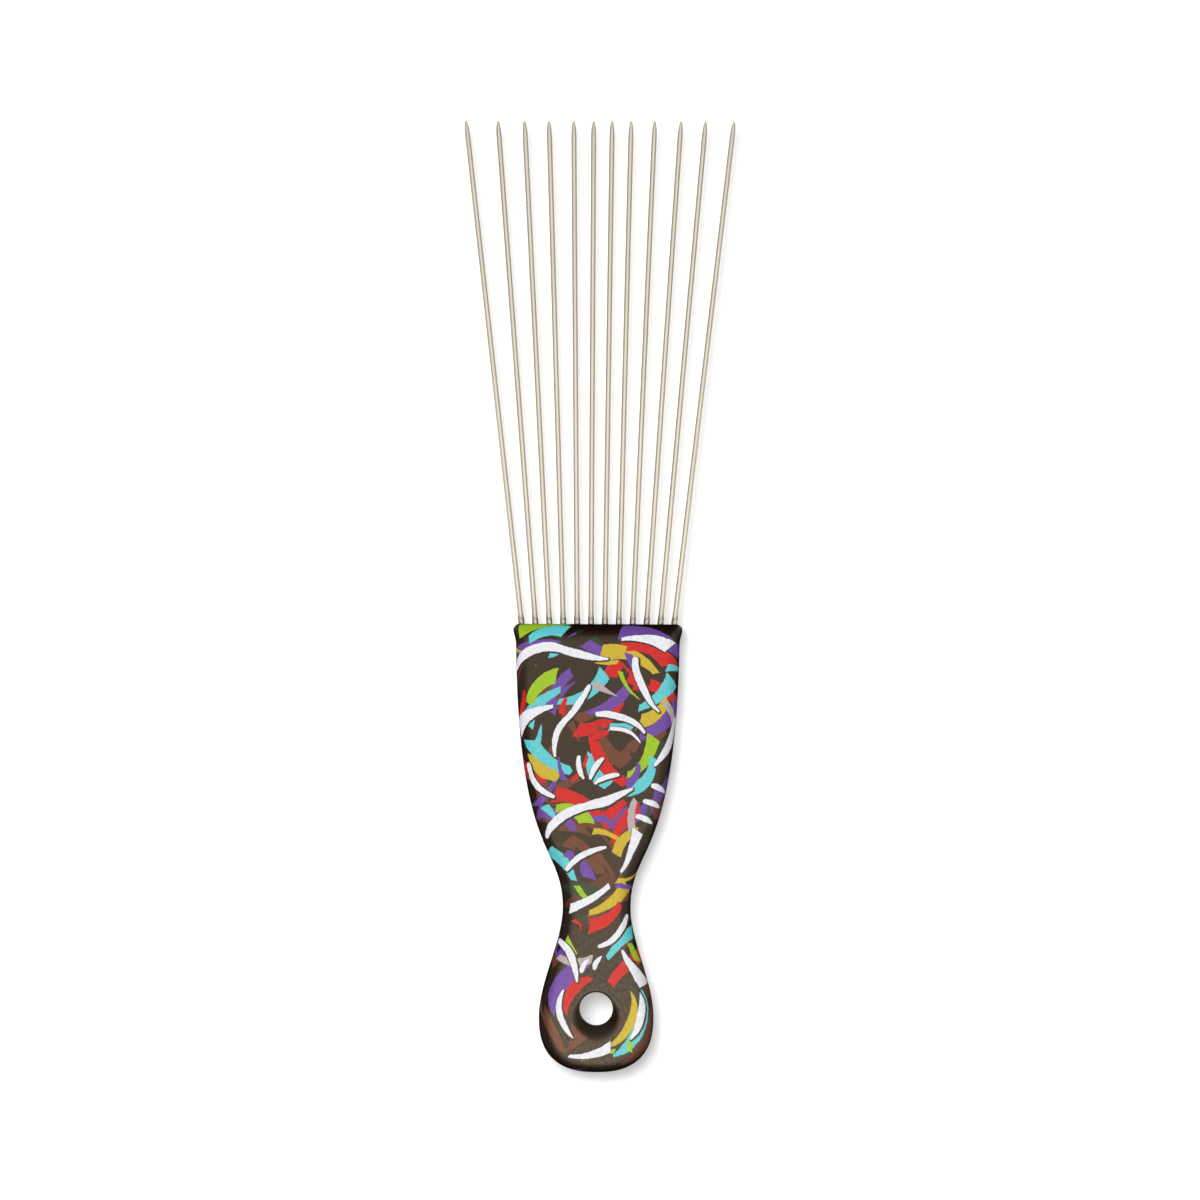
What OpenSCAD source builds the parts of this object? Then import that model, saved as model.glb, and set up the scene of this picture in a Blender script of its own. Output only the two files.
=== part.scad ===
// Afro pick: a moulded handle with a hanging hole, and a fan of straight steel pins set into its head.
// It lies on its back: X across, Y from the handle's rounded end towards the pin points, Z up.
// The origin is on the surface that it lies on, below the middle of its overall box.

/* [Handle outline] */
// Length from the top edge, where the pins leave, down to the narrowest place of the waist
head_l = 71.6; // [60:0.2:85]
// Length from the waist down to the widest place of the rounded end
neck_l = 27.4; // [20:0.2:36]
// Length from the widest place of the rounded end to the tip of the handle
end_l = 14; // [12:0.2:20]
// Width of the head
head_w = 41.2; // [36:0.1:50]
// Width of the waist
waist_w = 17.1; // [13:0.1:24]
// Width of the rounded end
end_w = 28.9; // [25:0.1:36]

/* [Handle section] */
// Thickness of the handle
handle_t = 10; // [8.4:0.1:14]
// Radius of the rounding along the handle's sides
edge_r = 3.6; // [2:0.1:4]
// How far down the faces the longer rounding of the top edge reaches
brow_l = 4.2; // [3:0.1:6]

/* [Lip] */
// Length of the stretch below the top edge that flares out to the lip
lip_l = 7; // [6.5:0.1:12]
// How far the lip stands out past each side of the head
lip_out = 0.7; // [0.2:0.1:1.5]
// Radius of the lip's corners, seen from the front
corner_r = 1.5; // [0.8:0.1:2.2]

/* [Hanging hole] */
// Diameter of the hanging hole
hole_d = 8.4; // [6:0.1:10]
// Distance from the tip of the handle to the hole's centre
hole_up = 16; // [14:0.2:20]
// Radius of the rounding round each mouth of the hole
rim_r = 0.8; // [0.4:0.1:1.6]
// How far the dish in each mouth reaches past the hole, towards the tip of the handle
dish_w = 4.2; // [3.4:0.1:4.8]
// Distance from the hole's centre down to the dish's centre
dish_down = 1.8; // [1.4:0.05:2.2]
// Radius of the dish's rolled border
dish_r = 2.6; // [1.6:0.1:3.4]
// Slope of the dish's side below its border, in degrees
dish_slope = 42; // [30:1:50]

/* [Pins] */
// How far the pins reach past the top edge of the handle
pin_reach = 127; // [80:1:160]
// Diameter of a pin
pin_d = 1.32; // [1:0.02:1.8]
// Lean of the outermost pins to each side, in degrees
fan_lean = 6.55; // [3:0.05:8]
// Distance from the lip's side to the axis of the outermost pin, at the top edge
pin_margin = 2.05; // [1.5:0.05:4]
// Length of a pin's rounded point
point_l = 4.4; // [1:0.1:6]
// Diameter of the shoulder where a pin leaves the head
shoulder_d = 1.52; // [1.4:0.02:2.2]
// Length of the shoulder above the top edge, with its taper
shoulder_l = 4; // [2:0.1:8]

/* [Pin roots] */
// Depth that a pin is moulded into the head
root_l = 18; // [12:0.5:30]
// Depth of the shoulder below the top edge
shoulder_sunk = 1.2; // [0.5:0.1:3]
// Width of a ring groove that locks the root
groove_w = 1.2; // [0.6:0.1:2]
// Depth of a ring groove
groove_deep = 0.2; // [0.1:0.02:0.3]
// Spacing of the ring grooves
groove_pitch = 3; // [2.2:0.1:4]
// Clearance between a root and the plastic round it
mould_gap = 0.01; // [0.01:0.01:0.05]

/* [Hidden] */
$fn = 64;

// Each pin's lean as a share of the outermost pins' lean, from left to right. The wires are set a little
// unevenly, as on the real tool.
lean_shares = [-1, -0.69, -0.47, -0.285, -0.095, 0.01, 0.09, 0.18, 0.35, 0.565, 0.75, 1];
pin_count = len(lean_shares);

// Overall sizes and the places along Y that follow from them
handle_l = head_l + neck_l + end_l;
overall_l = handle_l + pin_reach;
tip_y = overall_l / 2;
top_y = tip_y - pin_reach;
waist_y = top_y - head_l;
wide_y = waist_y - neck_l;
foot_y = wide_y - end_l;
hole_y = foot_y + hole_up;
mid_z = handle_t / 2;
lip_w = head_w + 2 * lip_out;
pin_pitch = (lip_w - 2 * pin_margin) / (pin_count - 1);

// The roundings are limited by half the handle's thickness
edge_z_r = min(edge_r, mid_z);
rim_z_r = min(rim_r, mid_z);
// Share of the handle's thickness that a dish takes at most
dish_deep_share = 0.4;
dish_deep = handle_t * dish_deep_share;
// Overrun of the cuts past the faces
cut_over = handle_t / 10;

// Power of the rounded end's outline: 2 would be an ellipse, more is squarer
end_power = 2.5;
// Handles of the outline's two curves, as shares of the curve's length and of its change of width
waist_below_share = 0.3;
wide_above_share = 0.32;
waist_above_share = 0.25;
head_below_share = 0.82;
head_taper_share = 0.08;
// The corners stay round on the flat faces too, by this share of the lip's corner radius
inner_corner_share = 0.25;

// Steps of the outline's stretches and of the rounding
end_steps = 18;
neck_steps = 14;
head_steps = 24;
lip_steps = 9;
corner_steps = 6;
edge_steps = 7;

// Steps of a pin's point and of its shoulder's taper
point_steps = 8;
taper_steps = 5;
// Share of the shoulder above the top edge that keeps its full diameter
shoulder_full_share = 0.25;
// Ring grooves on a root, the first one this share of the pitch above the root's end
groove_count = 4;
groove_first_share = 0.7;
// Chamfer of the root's end, as a share of the pin's radius
root_chamfer_share = 0.4;

// Node names
function pin_name(i) = str(i < 9 ? "pin_0" : "pin_", i + 1);

// Colours
print_dark = [0.24, 0.2, 0.16];
steel_satin = [0.82, 0.79, 0.72];

// A cubic curve through p and s with the handles q and r, at t from 0 to 1, and its direction there
function curve_point(p, q, r, s, t) =
    pow(1 - t, 3) * p + 3 * pow(1 - t, 2) * t * q + 3 * (1 - t) * t * t * r + pow(t, 3) * s;
function curve_direction(p, q, r, s, t) =
    pow(1 - t, 2) * (q - p) + 2 * (1 - t) * t * (r - q) + t * t * (s - r);

// The point at distance d inside an outline point p, where the outline faces along n
function inside(p, n, d) = p - n / norm(n) * d;
// Right-hand side of a direction: the way that the right half of the outline faces
function facing(v) = [v[1], -v[0]];

// Smooth step from 0 to 1
function ease(v) = v * v * (3 - 2 * v);

// Rounded end: a superellipse from the tip of the handle to its widest place
function end_points(inset) = [
    for (i = [0 : end_steps - 1])
        let (
            a = 90 * i / end_steps,
            x_share = pow(sin(a), 2 / end_power),
            y_share = pow(cos(a), 2 / end_power),
            p = [end_w / 2 * x_share, wide_y - end_l * y_share],
            n = [pow(x_share, end_power - 1) / end_w * 2, -pow(y_share, end_power - 1) / end_l]
        )
        inside(p, n, inset)
];

// From the widest place of the rounded end up to the waist
function neck_points(inset) = [
    for (i = [0 : neck_steps - 1])
        let (
            p = [end_w / 2, wide_y],
            q = p + [0, neck_l * wide_above_share],
            s = [waist_w / 2, waist_y],
            r = s - [0, neck_l * waist_below_share],
            t = i / neck_steps
        )
        inside(curve_point(p, q, r, s, t), facing(curve_direction(p, q, r, s, t)), inset)
];

// From the waist up to the foot of the lip
function head_points(inset) = [
    for (i = [0 : head_steps - 1])
        let (
            run = head_l - lip_l,
            widening = (head_w - waist_w) / 2,
            p = [waist_w / 2, waist_y],
            q = p + [0, run * waist_above_share],
            s = [head_w / 2, top_y - lip_l],
            r = s - [widening * head_taper_share, run * head_below_share],
            t = i / head_steps
        )
        inside(curve_point(p, q, r, s, t), facing(curve_direction(p, q, r, s, t)), inset)
];

// Radius of the lip's corner on the ring whose rounding has gone share g of its way
function ring_corner(g) = corner_r * (1 - (1 - inner_corner_share) * g);

// The flaring side of the lip. Its points slide down as the rounding of the top edge comes over.
function lip_points(g) = [
    for (i = [0 : lip_steps - 1])
        let (
            v = i / lip_steps,
            low_y = top_y - lip_l,
            high_y = top_y - brow_l * g - ring_corner(g)
        )
        [head_w / 2 + lip_out * ease(v * v) - edge_r * g, low_y + (high_y - low_y) * v]
];

// The lip's rounded corner
function corner_points(g) = [
    for (i = [0 : corner_steps])
        let (
            a = 90 * i / corner_steps,
            r = ring_corner(g),
            centre = [lip_w / 2 - edge_r * g - r, top_y - brow_l * g - r]
        )
        centre + r * [cos(a), sin(a)]
];

// One whole ring of the outline, drawn in by share g of the rounding, at height z
function ring(g, z) =
    let (
        half = concat(end_points(edge_r * g), neck_points(edge_r * g), head_points(edge_r * g),
                      lip_points(g), corner_points(g)),
        last = len(half) - 1
    )
    concat([for (p = half) [p[0], p[1], z]],
           [for (i = [last : -1 : 1]) [-half[i][0], half[i][1], z]]);

// Heights and shares of the rings, from the back face up to the front face
function back_rings() = [
    for (k = [0 : edge_steps])
        let (a = 90 * k / edge_steps)
        [1 - sin(a), edge_z_r * (1 - cos(a))]
];
function front_rings() = [for (k = [edge_steps : -1 : 0]) [back_rings()[k][0], handle_t - back_rings()[k][1]]];

// The handle's plain body: rings of the outline joined into one closed skin with flat faces
module handle_body() {
    levels = concat(back_rings(), front_rings());
    points = [for (level = levels) each ring(level[0], level[1])];
    count = len(points) / len(levels);
    top = len(levels) - 1;
    skin = [
        for (k = [0 : top - 1], i = [0 : count - 1])
            let (
                j = (i + 1) % count,
                a = k * count + i,
                b = k * count + j,
                c = a + count,
                d = b + count
            )
            each [[a, d, b], [a, c, d]]
    ];
    // Each flat face is laid in rungs from one side of the outline to the other
    last = (count - 1) / 2;
    back = concat([[1, 0, count - 1]],
                  [for (i = [1 : last - 1]) [i + 1, i, count - i, count - i - 1]]);
    front = [for (rung = back) [for (k = [len(rung) - 1 : -1 : 0]) top * count + rung[k]]];
    polyhedron(points, concat(skin, back, front));
}

// The cut for the hanging hole: a straight bore, whose mouth on each side is rounded all round and dished
// towards the tip of the handle
module hanging_hole() {
    translate([0, hole_y, -cut_over])
        cylinder(d = hole_d, h = handle_t + 2 * cut_over);
    for (side = [0, 1])
        translate([0, hole_y, side * handle_t])
            mirror([0, 0, 1 - side]) {
                mouth_cut(hole_d / 2 + rim_r, rim_z_r);
                translate([0, -dish_down, 0])
                    dish_cut(hole_d / 2 + dish_w - dish_down, dish_r);
            }
}

// The cut for a mouth with its border at radius border, from where its side rolls inwards with radius r. It
// has z 0 on the face of the handle.
module mouth_cut(border, r) {
    rotate_extrude()
        difference() {
            translate([0, -r])
                square([border, r + cut_over]);
            translate([border, -r])
                circle(r);
        }
}

// The cut for a dish, which has its border at radius border. From there its side rolls inwards with radius
// r until it has its full slope, and goes on straight.
module dish_cut(border, r) {
    bend = [border - r * sin(dish_slope), -r * (1 - cos(dish_slope))];
    low = bend[1] - bend[0] * tan(dish_slope) - dish_deep;
    rotate_extrude()
        difference() {
            translate([0, -dish_deep])
                square([border, dish_deep + cut_over]);
            translate([border, -r])
                circle(r);
            polygon([bend, [0, low + dish_deep], [0, low], [border, low], [border, -r]]);
        }
}

// Points of a root's ring grooves, on a shaft of radius r
function groove_points(r, grow) = [
    for (k = [0 : groove_count - 1])
        let (
            low = -root_l + groove_pitch * (groove_first_share + k) + grow,
            high = low + groove_w - 2 * grow
        )
        each [[r, low], [r - groove_deep, low], [r - groove_deep, high], [r, high]]
];

// Points of the shoulder, which eases from its full radius into the pin's
function taper_points(r, shoulder_r) = [
    for (k = [0 : taper_steps])
        let (v = k / taper_steps)
        [shoulder_r + (r - shoulder_r) * ease(v),
         shoulder_l * (shoulder_full_share + (1 - shoulder_full_share) * v)]
];

// Points of the rounded point, a half ellipse that ends on the axis
function tip_points(r, l) = [
    for (k = [0 : point_steps])
        let (a = 90 * k / point_steps)
        [k == point_steps ? 0 : r * cos(a), l - point_l + point_l * sin(a)]
];

// A pin of length l past the top edge, standing along Z with z 0 at the edge. The cut that holds its root
// is the same shape, grown by the clearance.
module pin_solid(l, grow = 0) {
    r = pin_d / 2 + grow;
    shoulder_r = shoulder_d / 2 + grow;
    chamfer = pin_d / 2 * root_chamfer_share;
    rotate_extrude()
        polygon(concat(
            [[0, -root_l - grow], [r - chamfer, -root_l - grow], [r, -root_l - grow + chamfer]],
            groove_points(r, grow),
            [[r, -shoulder_sunk - grow - chamfer], [shoulder_r, -shoulder_sunk - grow]],
            taper_points(r, shoulder_r),
            tip_points(r, l)
        ));
}

// Puts a pin in its place in the fan
module in_fan(i) {
    translate([pin_pitch * (i - (pin_count - 1) / 2), top_y, mid_z])
        rotate([0, 0, -fan_lean * lean_shares[i]])
            rotate([-90, 0, 0])
                children();
}

// All the points end on one line, so a pin that leans more is longer
function pin_length(i) = pin_reach / cos(fan_lean * lean_shares[i]);

module handle() {
    color(print_dark)
        difference() {
            handle_body();
            hanging_hole();
            for (i = [0 : pin_count - 1])
                in_fan(i)
                    pin_solid(pin_length(i), mould_gap);
        }
}

module pin(i) {
    color(steel_satin)
        in_fan(i)
            pin_solid(pin_length(i));
}

handle();
for (i = [0 : pin_count - 1])
    pin(i);
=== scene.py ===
"""Looks of an afro pick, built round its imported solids.

The pick lies on its back. X runs across it, Y from the rounded end of the handle to the pin points, and Z up
out of its front face. Lengths here are in millimetres, as on a workshop drawing, unless a comment says
otherwise. A mesh, a light and the camera get them in metres.
"""

import logging
import math
from dataclasses import dataclass, replace
from enum import Enum
from typing import Sequence, Union

import bpy
import numpy as np
from bpy.types import Material, Node, NodeSocket, NodeTree, Object
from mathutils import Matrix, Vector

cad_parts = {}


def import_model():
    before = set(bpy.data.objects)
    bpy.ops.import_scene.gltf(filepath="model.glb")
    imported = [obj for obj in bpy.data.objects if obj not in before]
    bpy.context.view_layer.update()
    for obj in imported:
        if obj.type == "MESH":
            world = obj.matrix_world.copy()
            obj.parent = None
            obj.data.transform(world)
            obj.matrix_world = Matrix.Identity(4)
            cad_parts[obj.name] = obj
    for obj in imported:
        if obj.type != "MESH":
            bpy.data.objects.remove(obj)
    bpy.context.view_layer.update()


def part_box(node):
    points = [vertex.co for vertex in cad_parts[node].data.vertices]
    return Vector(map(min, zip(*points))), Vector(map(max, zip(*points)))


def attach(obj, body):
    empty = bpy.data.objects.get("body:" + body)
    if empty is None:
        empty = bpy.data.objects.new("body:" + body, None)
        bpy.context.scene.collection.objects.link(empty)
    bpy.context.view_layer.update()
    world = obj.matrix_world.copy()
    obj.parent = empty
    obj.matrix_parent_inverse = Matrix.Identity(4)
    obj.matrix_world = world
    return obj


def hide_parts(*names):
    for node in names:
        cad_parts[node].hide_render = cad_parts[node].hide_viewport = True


MM = 0.001
# Steps to a millimetre that places are rounded to where grids are welded.
WELD_STEPS = 1e5
# How far a chisel tip's ends run on along a stroke, for each millimetre across it.
CHISEL_SLANT = 0.5
WHITE_LIGHT = (1.0, 1.0, 1.0, 1.0)
QUAD = np.array([[0, 1, 2, 3]])
LOG = logging.getLogger("afro_pick")
Socket = Union[NodeSocket, float, Sequence[float]]
Outputs = bpy.types.bpy_prop_collection
Array = np.ndarray
Colour = tuple[float, float, float, float]
Pair = tuple[float, float]


def srgb(*steps: int) -> Colour:
    """Turns a colour, as a screen shows it, into linear light by the sRGB curve.

    Args:
        *steps: Its red, green and blue, in steps from 0 to 255.

    Returns:
        The colour in linear light, with an alpha of 1.
    """
    share = np.array(steps) / 255
    light = np.where(share > 0.04045, ((share + 0.055) / 1.055) ** 2.4, share / 12.92)
    return (*light.tolist(), 1.0)


class Ink(Enum):
    """Inks of the printed film, in linear light. They are deeper than they look, because the gloss veils them."""

    GROUND = srgb(23, 8, 2)
    WHITE = srgb(242, 243, 250)
    RED = srgb(206, 14, 28)
    CYAN = srgb(92, 206, 212)
    LIME = srgb(156, 196, 28)
    MUSTARD = srgb(206, 178, 46)
    VIOLET = srgb(104, 66, 156)
    UMBER = srgb(98, 52, 36)
    MOSS = srgb(22, 44, 30)
    ASH = srgb(186, 172, 172)


class Tip(Enum):
    """Tips of the markers that the design is drawn with, by the names of their node groups."""

    ROUND = "Round Stroke"
    CHISEL = "Chisel Stroke"


# Shader trees


class Graph:
    """Adds nodes to a shader tree, in the order in which they are worked out, and joins their sockets."""

    def __init__(self, tree: NodeTree) -> None:
        """Keeps the tree that the nodes go into."""
        self.tree = tree

    def feed(self, node: Node, values: dict) -> None:
        """Sets a node's inputs.

        Args:
            node: The node.
            values: What each input gets, by its name or place: a socket to link, or a constant.
        """
        for key, value in values.items():
            if isinstance(value, NodeSocket):
                self.tree.links.new(value, node.inputs[key])
            else:
                node.inputs[key].default_value = value

    def node(self, kind: str, values: dict | None = None, **settings: object) -> Node:
        """Adds one node.

        Args:
            kind: Blender's name for the node type.
            values: What its inputs get.
            **settings: Properties of the node itself.

        Returns:
            The new node.
        """
        node = self.tree.nodes.new(kind)
        for name, value in settings.items():
            setattr(node, name, value)
        self.feed(node, values or {})
        return node

    def math(self, operation: str, *values: Socket, clamp: bool = False) -> NodeSocket:
        """Adds a Math node and returns its result."""
        given = dict(enumerate(values))
        return self.node("ShaderNodeMath", given, operation=operation, use_clamp=clamp).outputs[0]

    def vector(self, operation: str, *values: Socket) -> Outputs:
        """Adds a Vector Math node and returns its outputs."""
        return self.node("ShaderNodeVectorMath", dict(enumerate(values)), operation=operation).outputs

    def blend(self, share: Socket, a: Socket, b: Socket) -> NodeSocket:
        """Returns the number that lies the given share of the way from a to b."""
        return self.node("ShaderNodeMix", {0: share, 2: a, 3: b}, data_type="FLOAT").outputs[0]

    def tint(self, share: Socket, a: Socket, b: Socket, how: str = "MIX") -> NodeSocket:
        """Returns colour a with colour b laid over it by the given share."""
        values = {0: share, 6: a, 7: b}
        return self.node("ShaderNodeMix", values, data_type="RGBA", blend_type=how).outputs[2]

    def ranged(self, noise: Socket, ends: Pair, seen: Pair = (0.3, 0.7)) -> NodeSocket:
        """Maps the range where noise mostly lies on to another and holds it there."""
        values = {"Value": noise, "From Min": seen[0], "From Max": seen[1], "To Min": ends[0], "To Max": ends[1]}
        return self.node("ShaderNodeMapRange", values).outputs[0]

    def group(self, tree: NodeTree, values: dict) -> Outputs:
        """Places a node group with its values, and returns its outputs."""
        return self.node("ShaderNodeGroup", values, node_tree=tree).outputs

    def noise(self, place: Socket, scale: Socket, detail: float, roughness: float = 0.5) -> Outputs:
        """Adds a Noise Texture at a place and returns its outputs."""
        values = {"Vector": place, "Scale": scale, "Detail": detail, "Roughness": roughness}
        return self.node("ShaderNodeTexNoise", values).outputs


def new_group(name: str, inputs: dict, outputs: dict) -> tuple[Graph, Outputs, Node]:
    """Makes a shader node group with named sockets.

    Args:
        name: Name of the group.
        inputs: Each input's name with its socket type and default value.
        outputs: Each output's name with its socket type.

    Returns:
        The group's graph, the sockets of its inputs and its output node.
    """
    tree = bpy.data.node_groups.new(name, "ShaderNodeTree")
    for label, (kind, default) in inputs.items():
        socket = tree.interface.new_socket(name=label, in_out="INPUT", socket_type=kind)
        if default is not None:
            socket.default_value = default
    for label, kind in outputs.items():
        tree.interface.new_socket(name=label, in_out="OUTPUT", socket_type=kind)
    graph = Graph(tree)
    return graph, graph.node("NodeGroupInput").outputs, graph.node("NodeGroupOutput")


def new_material(name: str) -> tuple[Material, Graph, Node]:
    """Makes an empty material with a Principled shader.

    Args:
        name: Name of the material.

    Returns:
        The material, its graph and its shader node.
    """
    material = bpy.data.materials.new(name)
    material.use_nodes = True
    return material, Graph(material.node_tree), material.node_tree.nodes["Principled BSDF"]


def stroke_group(tip: Tip) -> NodeTree:
    """Makes the group that draws one stroke of a marker.

    A stroke follows an arc of a circle, and its half width a quadratic curve along it with three knots. With
    a round tip, the depth of a place in the stroke is that half width less the distance to the arc's nearest
    point. With a chisel tip, it is the least way to the stroke's sides or slanted ends. The mask is a half
    more than the depth times the crispness, and the cover at most. The Mix node that takes it holds it at 0
    outside the stroke. Nothing in the group is clamped or changes its type, because either would cost Cycles
    a slot of its short stack for every stroke.

    Args:
        tip: The marker's tip.

    Returns:
        The node group.
    """
    number, vector = "NodeSocketFloat", "NodeSocketVector"
    sizes = ("Radius", "Half Sweep", "Start", "Middle", "End", "Crispness", "Cover")
    inputs = {name: (vector, None) for name in ("Film", "Centre", "Outward", "Sideways")}
    graph, socket, out = new_group(tip.value, inputs | {name: (number, 1.0) for name in sizes}, {"Mask": number})
    math_of = graph.math
    offset = graph.vector("SUBTRACT", socket["Film"], socket["Centre"])[0]
    out_by, side_by = (graph.vector("DOT_PRODUCT", offset, socket[way])["Value"] for way in ("Outward", "Sideways"))
    angle = math_of("ARCTAN2", side_by, out_by)
    if tip is Tip.ROUND:
        least = math_of("MULTIPLY", socket["Half Sweep"], -1.0)
        angle = math_of("MAXIMUM", math_of("MINIMUM", angle, socket["Half Sweep"]), least)
        out_by = math_of("SUBTRACT", out_by, math_of("MULTIPLY", math_of("COSINE", angle), socket["Radius"]))
        side_by = math_of("SUBTRACT", side_by, math_of("MULTIPLY", math_of("SINE", angle), socket["Radius"]))
    away = math_of("SQRT", math_of("MULTIPLY_ADD", out_by, out_by, math_of("MULTIPLY", side_by, side_by)))
    along = math_of("MULTIPLY_ADD", math_of("DIVIDE", angle, socket["Half Sweep"]), 0.5, 0.5)
    first = graph.blend(along, socket["Start"], socket["Middle"])
    second = graph.blend(along, socket["Middle"], socket["End"])
    width = graph.blend(along, first, second)
    if tip is Tip.ROUND:
        depth = math_of("SUBTRACT", width, away)
    else:
        across = math_of("SUBTRACT", away, socket["Radius"])
        slanted = math_of("MULTIPLY_ADD", across, CHISEL_SLANT, math_of("MULTIPLY", angle, socket["Radius"]))
        run = math_of("MULTIPLY", socket["Half Sweep"], socket["Radius"])
        to_end = math_of("SUBTRACT", run, math_of("ABSOLUTE", slanted))
        depth = math_of("MINIMUM", math_of("SUBTRACT", width, math_of("ABSOLUTE", across)), to_end)
    edge = math_of("MULTIPLY_ADD", depth, socket["Crispness"], 0.5)
    graph.feed(out, {"Mask": math_of("MINIMUM", edge, socket["Cover"])})
    return graph.tree


def drawn_lines_group() -> NodeTree:
    """Makes the group of fine lines that run along one axis, as on drawn wire or a brushed mould.

    Noise is read at a place whose second axis is squeezed, so its grains become long streaks. Plain, coarse
    noise at the place itself is the mottle.

    Returns:
        The node group.
    """
    number = "NodeSocketFloat"
    inputs = {"Place": ("NodeSocketVector", None), "Fineness": (number, 1.0), "Length Share": (number, 0.05)}
    graph, socket, out = new_group("Drawn Lines", inputs, {"Lines": number, "Mottle": number})
    parts = graph.node("ShaderNodeSeparateXYZ", {0: socket["Place"]}).outputs
    squeezed = graph.math("MULTIPLY", parts[1], socket["Length Share"])
    place = graph.node("ShaderNodeCombineXYZ", {0: parts[0], 1: squeezed, 2: parts[2]}).outputs[0]
    lines = graph.noise(place, socket["Fineness"], detail=3.0, roughness=0.7)[0]
    mottle = graph.noise(socket["Place"], scale=0.9, detail=3.0)[0]
    graph.feed(out, {"Lines": lines, "Mottle": mottle})
    return graph.tree


# Printed design


@dataclass(frozen=True)
class Stroke:
    """One stroke of the printed design, on the film's own plane.

    Its middle stands off the straight line by its bow, to the left of its way if positive. The ink hides the
    share cover of what lies under it.
    """

    ink: Ink
    start: Pair
    end: Pair
    bow: float
    widths: tuple[float, float, float]  # In full, at the start, in the middle and at the end
    cover: float = 1.0
    tip: Tip = Tip.ROUND

    def values(self) -> dict[str, object]:
        """Works out the arc that the stroke follows.

        With a chord of length c and a bow of b, the arc's radius is c * c / (8 * b) + b / 2, and its centre
        lies on the chord's other side. A straight line is an arc too, with a bow of 0.002 of its length.

        Returns:
            The stroke group's inputs, by name.
        """
        start, end = np.array(self.start), np.array(self.end)
        chord = end - start
        length = float(np.hypot(*chord))
        bow = math.copysign(max(abs(self.bow), length * 0.002), self.bow)
        radius = length * length / (8 * abs(bow)) + abs(bow) / 2
        left = np.array([-chord[1], chord[0]]) / length * math.copysign(1.0, bow)
        centre = (start + end) / 2 - left * (radius - abs(bow))
        half_sweep = math.asin(min(1.0, length / 2 / radius))
        if abs(bow) > radius:
            half_sweep = math.pi - half_sweep
        first, middle, last = (w / 2 for w in self.widths)
        # Seen from its centre, an arc runs against the clock. A stroke that bows to the left runs with it.
        ends = (last, first) if bow > 0 else (first, last)
        return {
            "Centre": (*centre.tolist(), 0.0),
            "Radius": radius,
            "Outward": (*left.tolist(), 0.0),
            "Sideways": (-float(left[1]), float(left[0]), 0.0),
            "Half Sweep": half_sweep,
            "Start": ends[0],
            "Middle": 2 * middle - (first + last) / 2,
            "End": ends[1],
            "Cover": self.cover,
        }


def polar(centre: Pair, radius: float, degrees: float) -> Pair:
    """Returns the place at a distance and a direction from a centre."""
    turn = math.radians(degrees)
    return centre[0] + radius * math.cos(turn), centre[1] + radius * math.sin(turn)


def both_ends(middle: Pair, length: float, degrees: float) -> tuple[Pair, Pair]:
    """Returns where a line of a length and a direction begins and ends, from its middle."""
    return polar(middle, -length / 2, degrees), polar(middle, length / 2, degrees)


def slash(ink: Ink, start: Pair, end: Pair, bow: float, width: float, ends: Pair) -> Stroke:
    """A stroke of the round tip whose ends are given as shares of its width."""
    return Stroke(ink, start, end, bow, (width * ends[0], width, width * ends[1]))


def slab(ink: Ink, start: Pair, end: Pair, bow: float, widths: Pair, cover: float = 1.0) -> Stroke:
    """A stroke of the chisel tip that goes evenly from one width to another."""
    return Stroke(ink, start, end, bow, (widths[0], sum(widths) / 2, widths[1]), cover, Tip.CHISEL)


def keyed(lines: Sequence[Stroke], margin: float = 0.6, shift: float = 0.18) -> list[Stroke]:
    """Puts lines on top of dark key lines of the ground's ink.

    Args:
        lines: The lines.
        margin: How much wider a key line is.
        shift: How far it is moved to the right and down, where it shows a little more.

    Returns:
        The key lines and then the lines.
    """
    keys = []
    for line in lines:
        start, end = ((x + shift, y - shift) for x, y in (line.start, line.end))
        widths = tuple(width + margin for width in line.widths)
        keys.append(replace(line, ink=Ink.GROUND, start=start, end=end, widths=widths))
    return [*keys, *lines]


def dashes(ink: Ink, middles: Sequence[Pair], length: float, width: float, degrees: float) -> list[Stroke]:
    """Short dashes side by side, from the middle of each, with a slight bow."""
    return [slash(ink, *both_ends(middle, length, degrees), 0.3, width, (0.8, 0.3)) for middle in middles]


def bends(centre: Pair, start: float, sweep: float, bands: Sequence[tuple[Ink, float, float]]) -> list[Stroke]:
    """Bands that bend round one centre, with a quarter of their width at the start and a tenth at the end.

    Args:
        centre: Middle of the bends.
        start: Direction in which the first band begins, in degrees. Each other one begins 4 degrees later.
        sweep: Degrees that the first band turns through. The next two turn through 0.93 and 0.86 of them.
        bands: Colour, radius and width of each band.

    Returns:
        The strokes, in the order in which they are printed.
    """
    strokes = []
    for i, (ink, radius, width) in enumerate(bands):
        first, turn = start + 4.0 * i, sweep * (1 - 0.07 * (i % 3))
        bow = -radius * (1 - math.cos(math.radians(turn) / 2))
        ends = polar(centre, radius, first), polar(centre, radius, first + turn)
        strokes.append(slash(ink, *ends, bow, width, (0.25, 0.1)))
    return strokes


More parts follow.
